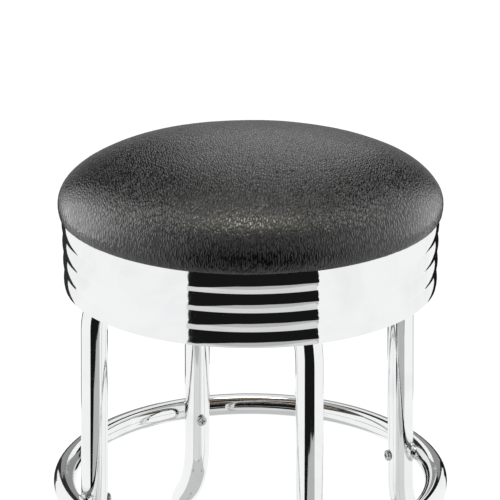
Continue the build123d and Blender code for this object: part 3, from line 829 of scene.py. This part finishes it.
    def _dome(self, steps: int, inset: float, last_z: float, with_relief: bool) -> bpy.types.Object:
        """Grid laid over the dome.

        Args:
            steps: Faces along each side of the grid.
            inset: How far inside the cover's outer face it lies.
            last_z: Height where it ends on the side.
            with_relief: Whether it gets pebbles, swells and puckers.

        Returns:
            The grid's object, with its place in its mesh.
        """
        deselect_all()
        bpy.ops.mesh.primitive_grid_add(x_subdivisions=steps, y_subdivisions=steps, size=2.0)
        dome = bpy.context.object
        mesh = dome.data
        flat = np.empty(len(mesh.vertices) * 3)
        mesh.vertices.foreach_get("co", flat)
        u, v = flat.reshape(-1, 3)[:, 0], flat.reshape(-1, 3)[:, 1]
        along, radius, height = self.outline(inset, last_z)
        ring = np.maximum(np.abs(u), np.abs(v))
        safe = np.where(ring > 0, ring, 1.0)
        wide = np.abs(u) >= np.abs(v)
        quarter = math.pi / 4
        angle = np.where(wide, quarter * v / safe * np.sign(u), 2 * quarter - quarter * u / safe * np.sign(v))
        angle = np.where(wide & (u < 0), angle + math.pi, angle)
        angle = np.where(~wide & (v < 0), angle + math.pi, angle)
        place = ring * along[-1]
        r, z = np.interp(place, along, radius), np.interp(place, along, height)
        points = np.column_stack([r * np.cos(angle), r * np.sin(angle), z])
        if with_relief:
            slope_r, slope_z = np.gradient(radius, along), np.gradient(height, along)
            out, up = -np.interp(place, along, slope_z), np.interp(place, along, slope_r)
            length = np.hypot(out, up)
            lift = self.relief(points, place, along[-1] - self.skirt_depth)
            points[:, 0] += lift * out / length * np.cos(angle)
            points[:, 1] += lift * out / length * np.sin(angle)
            points[:, 2] += lift * up / length
        mesh.vertices.foreach_set("co", points.ravel())
        mesh.update()
        return dome

    def _extend(self, piece: bpy.types.Object, rings: list[Pair]) -> None:
        """Extrude the open edge of a piece through rings and close the last one.

        Args:
            piece: The piece, with one open edge.
            rings: Radius and height of each new ring.
        """
        make_active(piece)
        bpy.ops.object.mode_set(mode="EDIT")
        bpy.ops.mesh.select_all(action="DESELECT")
        bpy.ops.mesh.select_mode(type="EDGE")
        bpy.ops.mesh.select_non_manifold()
        for radius, height in rings:
            bpy.ops.mesh.extrude_region_move()
            edit = bmesh.from_edit_mesh(piece.data)
            for vertex in edit.verts:
                if vertex.select:
                    across = Vector((vertex.co.x, vertex.co.y)).normalized() * radius
                    vertex.co = (across.x, across.y, height)
            bmesh.update_edit_mesh(piece.data)
        bpy.ops.mesh.merge(type="CENTER")
        bpy.ops.mesh.select_all(action="SELECT")
        bpy.ops.mesh.normals_make_consistent(inside=False)
        bpy.ops.object.mode_set(mode="OBJECT")
        bpy.ops.object.shade_smooth_by_angle(angle=self.smooth_angle)

    def cover(self) -> bpy.types.Object:
        """Vinyl cover with its wall, tucked down the side and turned under the board.

        Returns:
            The finished cover.
        """
        skirt_z = self.tuck_z - self.skirt_depth
        piece = self._dome(self.cover_steps, 0.0, skirt_z, True)
        piece.name = "vinyl_cover"
        side, under, wall = self.side_radius, self.low.z, self.wall
        mouth = self.board_radius - self.mouth_inset
        rings = [(side, under + wall), (side - self.hem_round, under + self.hem_round), (side - wall, under),
                 (mouth, under), (mouth, under + wall), (side - 2 * wall, under + wall),
                 (side - wall, under + 2 * wall)]
        along, radius, height = self.outline(wall, skirt_z)
        for share in np.linspace(1.0, self.last_ring_share, self.inner_rings):
            place = along[-1] * share
            rings.append((float(np.interp(place, along, radius)), float(np.interp(place, along, height))))
        self._extend(piece, rings)
        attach(piece, self.body.value)
        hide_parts("seat_cover")
        piece.data.materials.append(PebbledVinyl().make())
        return piece

    def foam(self) -> bpy.types.Object:
        """Foam dome under the cover, resting on the board.

        Returns:
            The finished foam.
        """
        piece = self._dome(self.foam_steps, self.wall + self.inner_gap, self.board_top + self.foam_above_board, False)
        piece.name = "foam_dome"
        side = self.side_radius - self.wall - self.inner_gap
        floor = self.board_top + self.inner_gap / 2
        wide_round, high_round = self.foam_round
        rings = [(side - high_round, floor + high_round), (side - wide_round, floor), (side / 2, floor)]
        self._extend(piece, rings)
        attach(piece, self.body.value)
        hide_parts("seat_foam")
        piece.data.materials.append(CutFoam().make())
        return piece

    def build(self) -> list[bpy.types.Object]:
        """Build the cover and the foam."""
        return [self.cover(), self.foam()]


@dataclass
class CarriedNodes:
    """CAD nodes that keep their own meshes and get a finish."""

    nodes: dict[str, bpy.types.Object]

    def dress(self, finish: Finish, *names: str) -> None:
        """Give the same finish to some nodes.

        Args:
            finish: The finish.
            *names: Starts of the nodes' names.
        """
        material = finish.make()
        for name, node in self.nodes.items():
            if name.startswith(names):
                node.data.materials.clear()
                node.data.materials.append(material)
                LOG.info("%s: %s", name, finish.name)

    def build(self) -> None:
        """Dress every node that stays."""
        scuffed_chrome = ChromePlate(name="ring_chrome", scratch_lines=110.0, scratch_width=0.03,
                                     scratch_roughness=0.12)
        self.dress(ChromePlate(), "side_leg_pair", "front_back_leg_pair")
        self.dress(scuffed_chrome, "foot_ring")
        self.dress(ChromePlate(name="band_chrome"), "trim_band", "seam_strip", "seam_rivets")
        self.dress(ZincPlate(), "foot_ring_screws", "foot_ring_nuts", "saddle_washers", "frame_bolts",
                   "base_plate_nuts", "swivel_pin", "seat_bolts", "seat_tee_nuts", "cover_staples", "band_clips",
                   "clip_screws")
        self.dress(BallSteel(), "swivel_balls")
        self.dress(PowderCoat(), "swivel_base_plate", "swivel_top_plate")
        self.dress(MouldedNylon(), "pin_washer", "ball_cage")
        self.dress(MouldedRubber(), "foot_cap")
        self.dress(BirchPly(), "seat_board")


@dataclass
class Studio:
    """White room round the stool, its lamps and the cards that its chrome mirrors.

    Places of the cards and lamps are given as the camera sees them: X to its right, Y away from it.
    """

    floor_size: float = 40.0
    floor_drop: float = 0.0005
    floor_colour: float = 0.80
    floor_glow: float = 0.46
    world_light: float = 0.72
    world_tint: Triple = (1.0, 0.995, 0.985)
    dark_shade: float = 0.009
    front_y: float = -3.20
    front_sides: Pair = (-2.31, 2.62)
    front_height: float = 3.4
    ceiling_height: float = 4.2
    flag_reach: float = 1.15

    def floor(self) -> None:
        """Pale floor that keeps the stool's shadow and shows white elsewhere."""
        deselect_all()
        bpy.ops.mesh.primitive_plane_add(size=self.floor_size, location=(0.0, 0.0, -self.floor_drop))
        plane = bpy.context.object
        plane.name = "studio_floor"
        material = bpy.data.materials.new("studio_floor")
        material.use_nodes = True
        sheet = Sheet(material.node_tree)
        shader = sheet.node("BsdfPrincipled")
        shader.inputs["Base Color"].default_value = (self.floor_colour,) * 3 + (1.0,)
        shader.inputs["Roughness"].default_value = 1.0
        shader.inputs["Specular IOR Level"].default_value = 0.0
        glow = sheet.node("Emission")
        glow.inputs["Strength"].default_value = self.floor_glow
        both = sheet.node("AddShader")
        sheet.feed(both.inputs[0], shader.outputs["BSDF"])
        sheet.feed(both.inputs[1], glow.outputs["Emission"])
        mirrored = sheet.node("Emission")
        mirrored.inputs["Strength"].default_value = 1.0
        rays = sheet.node("LightPath")
        shown, polished = sheet.node("MixShader"), sheet.node("MixShader")
        for mix, share, first, second in ((shown, "Is Camera Ray", shader, both),
                                          (polished, "Is Glossy Ray", shown, mirrored)):
            sheet.feed(mix.inputs[0], rays.outputs[share])
            sheet.feed(mix.inputs[1], first.outputs[0])
            sheet.feed(mix.inputs[2], second.outputs[0])
        sheet.feed(sheet.node("OutputMaterial").inputs["Surface"], polished.outputs[0])
        plane.data.materials.append(material)

    @staticmethod
    def seen_directly(sheet: Sheet) -> Socket:
        """1 for rays that show the background itself, in the picture, in metal or through glass.

        Args:
            sheet: The tree that asks.

        Returns:
            The value socket.
        """
        rays = sheet.node("LightPath")
        mirrored = sheet.math("MAXIMUM", rays.outputs["Is Glossy Ray"], rays.outputs["Is Transmission Ray"])
        return sheet.math("MAXIMUM", rays.outputs["Is Camera Ray"], mirrored)

    def world(self) -> None:
        """White surroundings: full white where they show, softer as light."""
        world = bpy.data.worlds.new("studio")
        bpy.context.scene.world = world
        world.use_nodes = True
        sheet = Sheet(world.node_tree)
        shown, light = sheet.node("Background"), sheet.node("Background")
        shown.inputs["Color"].default_value = (1.0, 1.0, 1.0, 1.0)
        shown.inputs["Strength"].default_value = 1.0
        light.inputs["Color"].default_value = (*self.world_tint, 1.0)
        light.inputs["Strength"].default_value = self.world_light
        mix = sheet.node("MixShader")
        sheet.feed(mix.inputs[0], self.seen_directly(sheet))
        sheet.feed(mix.inputs[1], light.outputs[0])
        sheet.feed(mix.inputs[2], shown.outputs[0])
        sheet.feed(sheet.node("OutputWorld").inputs["Surface"], mix.outputs[0])

    @staticmethod
    def card(name: str, corners: list[Triple], shade: float) -> None:
        """Plain card that only polished surfaces see.

        Args:
            name: Name of the card.
            corners: Its corners in order, as the camera sees them.
            shade: How bright it looks, from 0 to 1.
        """
        mesh = bpy.data.meshes.new(name)
        mesh.from_pydata(corners, [], [tuple(range(len(corners)))])
        card = bpy.data.objects.new(name, mesh)
        bpy.context.scene.collection.objects.link(card)
        card.rotation_euler = (0.0, 0.0, VIEW_TURN)
        for rays in ("camera", "diffuse", "shadow", "transmission", "volume_scatter"):
            setattr(card, f"visible_{rays}", False)
        material = bpy.data.materials.new(name)
        material.use_nodes = True
        sheet = Sheet(material.node_tree)
        glow = sheet.node("Emission")
        glow.inputs["Color"].default_value = (shade, shade, shade, 1.0)
        glow.inputs["Strength"].default_value = 1.0
        sheet.feed(sheet.node("OutputMaterial").inputs["Surface"], glow.outputs["Emission"])
        mesh.materials.append(material)

    def lying(self, name: str, corners: list[Pair], height: float, shade: float) -> None:
        """Card that lies flat at a height.

        Args:
            name: Name of the card.
            corners: Its corners in order, seen from above.
            height: Height that it lies at.
            shade: How bright it looks.
        """
        self.card(name, [(x, y, height) for x, y in corners], shade)

    def flag(self, name: str, sides: Pair, heights: Pair, shade: float) -> None:
        """Upright card between two directions.

        Args:
            name: Name of the card.
            sides: Directions of its side edges from the stool, in degrees from the camera's side.
            heights: Heights of its lower and upper edge.
            shade: How bright it looks.
        """
        (x0, y0), (x1, y1) = ((self.flag_reach * math.sin(turn), -self.flag_reach * math.cos(turn))
                              for turn in map(math.radians, sides))
        low, high = heights
        self.card(name, [(x0, y0, low), (x1, y1, low), (x1, y1, high), (x0, y0, high)], shade)

    def cards(self) -> None:
        """Dark front; painted shadow of the stool on the floor before and under it, fading towards the front; grey
        ceiling; and flags behind the stool.
        """
        (left, right), y, top = self.front_sides, self.front_y, self.front_height
        self.lying("front_floor_card", [
            (left, y), (-0.98, -1.36), (-0.80, -1.08), (-0.62, -0.80), (-0.52, -0.82), (-0.36, -1.18),
            (-0.20, -1.42), (0.30, -1.52), (0.80, -1.32), (0.93, -1.10), (right, y)], 0.001, self.dark_shade)
        self.card("front_wall_card", [(left, y, 0.0), (right, y, 0.0), (right, y, top), (left, y, top)],
                  self.dark_shade)
        # The near, middle and under cards are painted shadow of the stool on the floor, seen only in polished
        # surfaces; the middle one is its painted fade towards the dark front.
        self.lying("near_floor_shadow_card", [
            (-0.66, -0.84), (-0.49, -0.56), (-0.33, -0.28), (0.33, -0.22), (0.50, -0.52), (0.68, -0.80),
            (0.74, -0.95), (-0.50, -0.92)], 0.0, 0.74)
        self.lying("middle_floor_shade_card", [
            (-0.55, -0.70), (0.61, -0.68), (0.92, -1.10), (0.80, -1.36), (0.30, -1.56), (-0.20, -1.46),
            (-0.38, -1.20)], -0.0002, 0.50)
        # Painted shadow of the stool on the floor under it.
        self.lying("under_shadow_card", [(-0.33, -0.27), (0.33, -0.22), (0.30, 0.34), (-0.30, 0.34)], 0.0, 0.60)
        for name, y0, z0, y1, z1, shade in (("front_ceiling_card", y, top, -0.7, self.ceiling_height, 0.20),
                                            ("ceiling_card", -0.7, self.ceiling_height, 2.4,
                                             self.ceiling_height, 0.46)):
            self.card(name, [(-2.4, y0, z0), (2.4, y0, z0), (1.6, y1, z1), (-1.6, y1, z1)], shade)
        self.flag("left_flag", (-146, -171.6), (0.06, 2.03), 0.03)
        self.flag("right_flag", (147, 164), (0.06, 3.09), 0.01)
        self.flag("back_flag", (164, 188.4), (1.12, 2.9), 0.89)
        self.flag("low_back_flag", (150, 210), (0.45, 0.90), 0.30)
        self.flag("low_left_flag", (-138.5, -146.5), (0.06, 0.50), 0.03)
        self.flag("low_right_flag", (142, 147.5), (0.06, 0.46), 0.01)

    @staticmethod
    def lamp(name: str, place: Triple, size: Pair, power: float, colour: Triple) -> bpy.types.Object:
        """Soft box aimed at the seat.

        Args:
            name: Name of the lamp.
            place: Its place, as the camera sees it.
            size: Its width and depth.
            power: Watts.
            colour: Its colour.

        Returns:
            The lamp's object.
        """
        data = bpy.data.lights.new(name, "AREA")
        data.shape, data.size, data.size_y = "RECTANGLE", size[0], size[1]
        data.energy, data.color = power, colour
        lamp = bpy.data.objects.new(name, data)
        bpy.context.scene.collection.objects.link(lamp)
        cos_turn, sin_turn = math.cos(VIEW_TURN), math.sin(VIEW_TURN)
        x, y, z = place
        lamp.location = (x * cos_turn - y * sin_turn, x * sin_turn + y * cos_turn, z)
        aim = Vector((0.0, 0.0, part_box("seat_cover")[1].z)) - lamp.location
        lamp.rotation_euler = aim.to_track_quat("-Z", "Y").to_euler()
        return lamp

    def build(self) -> None:
        """Set up the whole studio."""
        self.floor()
        self.world()
        self.cards()
        self.lamp("overhead_box", (0.0, 0.58, 2.64), (0.54, 0.35), 4.3, (1.0, 0.94, 0.80))
        boxes = [self.lamp("left_box", (-1.2, 0.45, 0.97), (1.1, 1.4), 9.2, (1.0, 1.0, 1.0)),
                 self.lamp("right_box", (1.24, 0.59, 0.9), (1.1, 1.12), 4.6, (0.97, 0.98, 1.0))]
        lit = bpy.data.collections.new("lit_by_side_boxes")
        lit.objects.link(bpy.data.objects["vinyl_cover"])
        for box in boxes:
            box.light_linking.receiver_collection = lit


@dataclass
class PhotographCamera:
    """Camera where the photograph was taken."""

    place: Triple = (-0.8256, -2.2562, 1.5209)
    tilt: float = math.radians(70.25)
    turn: float = VIEW_TURN + math.radians(0.0106)
    lens: float = 194.46
    sensor: float = 36.0
    clip: Pair = (0.05, 100.0)

    def build(self) -> None:
        """Add the camera and make it the scene's."""
        data = bpy.data.cameras.new("photograph")
        data.lens, data.sensor_width = self.lens, self.sensor
        data.clip_start, data.clip_end = self.clip
        camera = bpy.data.objects.new("photograph", data)
        camera.location = self.place
        camera.rotation_euler = (self.tilt, 0.0, self.turn)
        bpy.context.scene.collection.objects.link(camera)
        bpy.context.scene.camera = camera


def main() -> None:
    """Build the stool's pieces and the studio, and report each one."""
    logging.basicConfig(level=logging.INFO, format="%(name)s: %(message)s")
    bpy.context.scene.view_settings.view_transform = "Standard"
    PhotographCamera().build()
    CarriedNodes(frame["nodes"]).build()
    for piece in SeatCushion().build():
        LOG.info("%s: %d faces", piece.name, len(piece.data.polygons))
    Studio().build()


if __name__ == "__main__":
    main()
